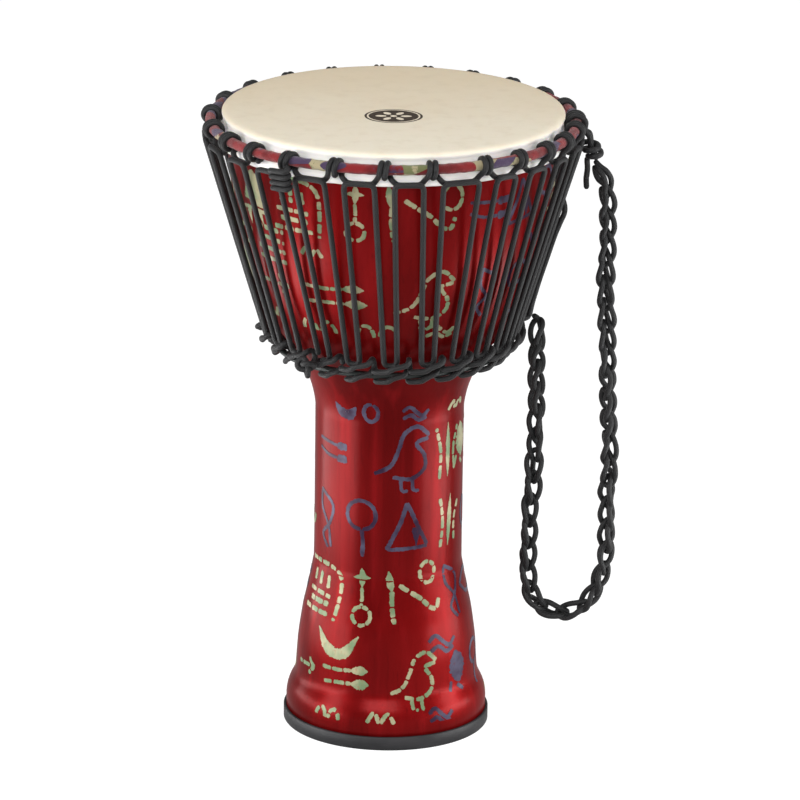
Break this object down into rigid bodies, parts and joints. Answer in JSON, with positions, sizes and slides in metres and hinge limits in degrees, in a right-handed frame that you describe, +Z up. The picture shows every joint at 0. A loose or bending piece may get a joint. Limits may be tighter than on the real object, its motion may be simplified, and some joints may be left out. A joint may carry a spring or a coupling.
{
  "type": "djembe",
  "caption": "Rope-tuned goblet hand drum with a synthetic shell, goatskin head, ringed lacing, rubber foot and a chained rope strap.",
  "frame": {"origin": "centre of the rubber foot's bottom face, where the drum stands", "axes": "+Z up the drum's axis to the playing head, -Y the front, +X the side that the strap hangs on"},
  "size_m": [0.3942, 0.3597, 0.6],
  "materials": {
    "shell": "red dyed gloss lacquer with painted marks",
    "foot_rubber": "satin black rubber",
    "goatskin": "natural scraped goatskin",
    "steel": "bare steel rod",
    "printed_cloth": "red printed cotton cloth",
    "coated_steel": "black coated steel",
    "rope": "black braided polyester rope"
  },
  "bodies": {
    "drum": {"shell": "shell", "foot_ring": "foot_rubber", "skin_head": "goatskin", "flesh_hoop": "steel", "crown_ring_core": "steel", "crown_ring_cloth": "printed_cloth", "base_ring": "coated_steel", "crown_cradle": "rope", "base_cradle": "rope", "tension_rope": "rope", "start_knot": "rope", "end_knot": "rope", "spare_rope": "rope", "strap_top_hitch": "rope", "strap_top_knot": "rope", "strap_tail_long": "rope", "strap_tail_short": "rope", "strap_base_hitch": "rope"},
    "strap": {"carry_strap": "rope"}
  },
  "joints": [
    {"name": "strap_swing", "type": "hinge", "parent": "drum", "child": "strap", "pos_m": [0.1388, 0.0096, 0.394], "axis": [0.2991, -0.0959, 0.9494], "range_deg": [-40, 40]}
  ]
}
